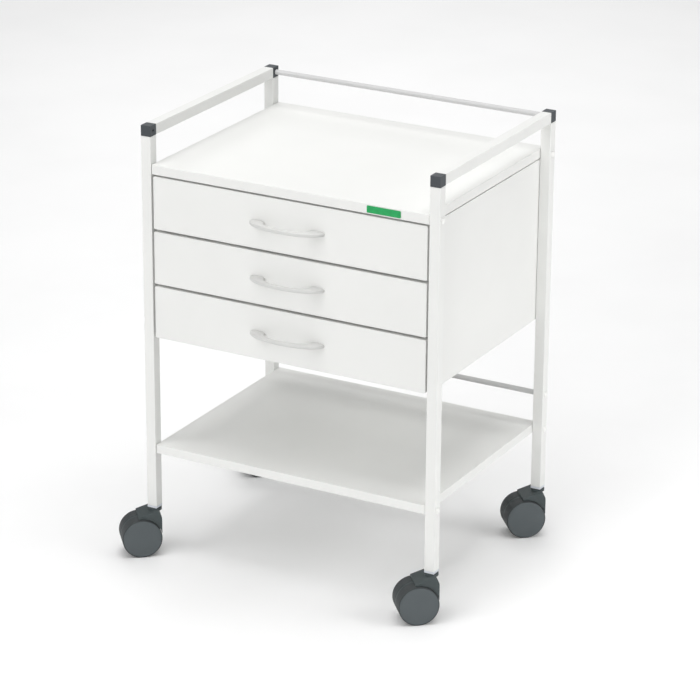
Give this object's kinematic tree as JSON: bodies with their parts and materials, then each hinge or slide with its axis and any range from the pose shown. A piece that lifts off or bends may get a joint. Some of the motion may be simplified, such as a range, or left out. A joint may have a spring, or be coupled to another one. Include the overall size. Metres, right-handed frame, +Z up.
{
  "type": "medication cart",
  "caption": "Open-frame ward cart on hooded swivel castors, with drawers under a railed top and an open lower shelf.",
  "frame": {"origin": "on the floor, under the centre of the cart's box, castors included as they stand at rest", "axes": "+Z up; the drawers open towards -Y; +X is to the right of a person who faces the drawers"},
  "size_m": [0.6752, 0.5252, 0.8357],
  "materials": {
    "white_tube": "white powder coat, satin",
    "white_laminate": "chipboard with white melamine faces and white edge band",
    "anthracite_plastic": "moulded plastic with a fine texture",
    "wheel_rubber": "soft grey tread on a plastic wheel",
    "handle_white": "pale satin paint on a die-cast bow",
    "slide_steel": "zinc-plated sheet and pin",
    "pale_plug": "pale moulded plug with a steel stem",
    "green_label": "blank adhesive plate"
  },
  "bodies": {
    "cart_frame": {"post_front_left": "white_tube", "post_front_right": "white_tube", "post_rear_left": "white_tube", "post_rear_right": "white_tube", "corner_connector_front_left": "anthracite_plastic", "corner_connector_front_right": "anthracite_plastic", "corner_connector_rear_left": "anthracite_plastic", "corner_connector_rear_right": "anthracite_plastic", "side_rail_left": "white_tube", "side_rail_right": "white_tube", "rear_rod_upper": "white_tube", "rear_rod_lower": "white_tube", "top_panel": "white_laminate", "lower_shelf": "white_laminate", "cabinet_side_left": "white_laminate", "cabinet_side_right": "white_laminate", "cabinet_back": "white_laminate", "cabinet_bottom": "white_laminate", "label_plate": "green_label", "cabinet_rail_left_top": "slide_steel", "cabinet_rail_right_top": "slide_steel", "cabinet_rail_left_middle": "slide_steel", "cabinet_rail_right_middle": "slide_steel", "cabinet_rail_left_bottom": "slide_steel", "cabinet_rail_right_bottom": "slide_steel", "stem_plug_front_left": "pale_plug", "stem_plug_front_right": "pale_plug", "stem_plug_rear_left": "pale_plug", "stem_plug_rear_right": "pale_plug"},
    "drawer_top": {"drawer_front_top": "white_laminate", "drawer_tray_top": "white_laminate", "handle_top": "handle_white", "drawer_runner_left_top": "slide_steel", "drawer_runner_right_top": "slide_steel"},
    "drawer_middle": {"drawer_front_middle": "white_laminate", "drawer_tray_middle": "white_laminate", "handle_middle": "handle_white", "drawer_runner_left_middle": "slide_steel", "drawer_runner_right_middle": "slide_steel"},
    "drawer_bottom": {"drawer_front_bottom": "white_laminate", "drawer_tray_bottom": "white_laminate", "handle_bottom": "handle_white", "drawer_runner_left_bottom": "slide_steel", "drawer_runner_right_bottom": "slide_steel"},
    "castor_front_left": {"castor_hood_front_left": "anthracite_plastic", "castor_axle_front_left": "slide_steel"},
    "drum_outer_front_left": {"wheel_outer_front_left": "wheel_rubber"},
    "drum_inner_front_left": {"wheel_inner_front_left": "wheel_rubber"},
    "castor_front_right": {"castor_hood_front_right": "anthracite_plastic", "castor_axle_front_right": "slide_steel"},
    "drum_outer_front_right": {"wheel_outer_front_right": "wheel_rubber"},
    "drum_inner_front_right": {"wheel_inner_front_right": "wheel_rubber"},
    "castor_rear_left": {"castor_hood_rear_left": "anthracite_plastic", "castor_axle_rear_left": "slide_steel"},
    "drum_outer_rear_left": {"wheel_outer_rear_left": "wheel_rubber"},
    "drum_inner_rear_left": {"wheel_inner_rear_left": "wheel_rubber"},
    "castor_rear_right": {"castor_hood_rear_right": "anthracite_plastic", "castor_axle_rear_right": "slide_steel"},
    "drum_outer_rear_right": {"wheel_outer_rear_right": "wheel_rubber"},
    "drum_inner_rear_right": {"wheel_inner_rear_right": "wheel_rubber"}
  },
  "joints": [
    {"name": "slide_top", "type": "slide", "parent": "cart_frame", "child": "drawer_top", "axis": [0, -1, 0], "range_m": [0, 0.285]},
    {"name": "slide_middle", "type": "slide", "parent": "cart_frame", "child": "drawer_middle", "axis": [0, -1, 0], "range_m": [0, 0.285]},
    {"name": "slide_bottom", "type": "slide", "parent": "cart_frame", "child": "drawer_bottom", "axis": [0, -1, 0], "range_m": [0, 0.285]},
    {"name": "swivel_front_left", "type": "hinge", "parent": "cart_frame", "child": "castor_front_left", "pos_m": [-0.27036, -0.19945, 0.085], "axis": [0, 0, 1], "continuous": true},
    {"name": "swivel_front_right", "type": "hinge", "parent": "cart_frame", "child": "castor_front_right", "pos_m": [0.31264, -0.19945, 0.085], "axis": [0, 0, 1], "continuous": true},
    {"name": "swivel_rear_left", "type": "hinge", "parent": "cart_frame", "child": "castor_rear_left", "pos_m": [-0.27036, 0.23555, 0.085], "axis": [0, 0, 1], "continuous": true},
    {"name": "swivel_rear_right", "type": "hinge", "parent": "cart_frame", "child": "castor_rear_right", "pos_m": [0.31264, 0.23555, 0.085], "axis": [0, 0, 1], "continuous": true},
    {"name": "spin_outer_front_left", "type": "hinge", "parent": "castor_front_left", "child": "drum_outer_front_left", "pos_m": [-0.2915, -0.2175, 0.0375], "axis": [0.6494, -0.7604, 0], "continuous": true},
    {"name": "spin_inner_front_left", "type": "hinge", "parent": "castor_front_left", "child": "drum_inner_front_left", "pos_m": [-0.2915, -0.2175, 0.0375], "axis": [0.6494, -0.7604, 0], "continuous": true},
    {"name": "spin_outer_front_right", "type": "hinge", "parent": "castor_front_right", "child": "drum_outer_front_right", "pos_m": [0.2915, -0.2175, 0.0375], "axis": [0.6494, -0.7604, 0], "continuous": true},
    {"name": "spin_inner_front_right", "type": "hinge", "parent": "castor_front_right", "child": "drum_inner_front_right", "pos_m": [0.2915, -0.2175, 0.0375], "axis": [0.6494, -0.7604, 0], "continuous": true},
    {"name": "spin_outer_rear_left", "type": "hinge", "parent": "castor_rear_left", "child": "drum_outer_rear_left", "pos_m": [-0.2915, 0.2175, 0.0375], "axis": [0.6494, -0.7604, 0], "continuous": true},
    {"name": "spin_inner_rear_left", "type": "hinge", "parent": "castor_rear_left", "child": "drum_inner_rear_left", "pos_m": [-0.2915, 0.2175, 0.0375], "axis": [0.6494, -0.7604, 0], "continuous": true},
    {"name": "spin_outer_rear_right", "type": "hinge", "parent": "castor_rear_right", "child": "drum_outer_rear_right", "pos_m": [0.2915, 0.2175, 0.0375], "axis": [0.6494, -0.7604, 0], "continuous": true},
    {"name": "spin_inner_rear_right", "type": "hinge", "parent": "castor_rear_right", "child": "drum_inner_rear_right", "pos_m": [0.2915, 0.2175, 0.0375], "axis": [0.6494, -0.7604, 0], "continuous": true}
  ]
}
